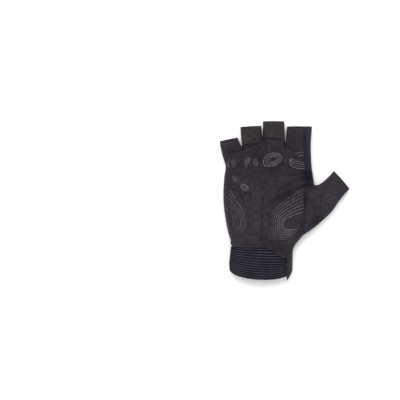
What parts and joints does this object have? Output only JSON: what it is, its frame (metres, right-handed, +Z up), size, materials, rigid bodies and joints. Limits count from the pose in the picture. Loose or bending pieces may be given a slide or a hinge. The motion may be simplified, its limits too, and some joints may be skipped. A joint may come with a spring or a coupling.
{
  "type": "fingerless cycling glove",
  "caption": "Short-finger cycling glove for the right hand: suede palm with raised gel pads, mesh and stretch knit back, half thumb, turned finger hems and a ribbed knit wrist cuff.",
  "frame": {"origin": "middle of the bounding box in X and Y, at the height of the surface the glove lies on", "axes": "X across the hand towards the thumb, Y from the wrist to the fingers, Z up out of the palm"},
  "size_m": [0.1358, 0.1656, 0.0275],
  "materials": {
    "suede": "dark taupe synthetic suede with a fine nap, matt",
    "gel_suede": "the same suede over a gel pad, matt, with light grey printed silicone lines",
    "mesh_knit": "black mesh knit with small upright eyelets, matt",
    "stretch_knit": "smooth navy-black stretch knit with a slight sheen",
    "ribbed_knit": "navy-black ribbed knit, matt"
  },
  "bodies": {
    "root": {"palm_panel": "suede", "thumb_front": "suede", "finger_hem_little": "suede", "finger_hem_ring": "suede", "finger_hem_middle": "suede", "finger_hem_index": "suede", "thenar_pad": "gel_suede", "hypothenar_pad": "gel_suede", "back_mesh": "mesh_knit", "fourchette_ring_little": "mesh_knit", "fourchette_middle_ring": "mesh_knit", "fourchette_index_middle": "mesh_knit", "thumb_back": "mesh_knit", "back_panel": "stretch_knit", "index_side_strip": "stretch_knit", "wrist_strip": "stretch_knit", "cuff": "ribbed_knit"}
  },
  "joints": []
}
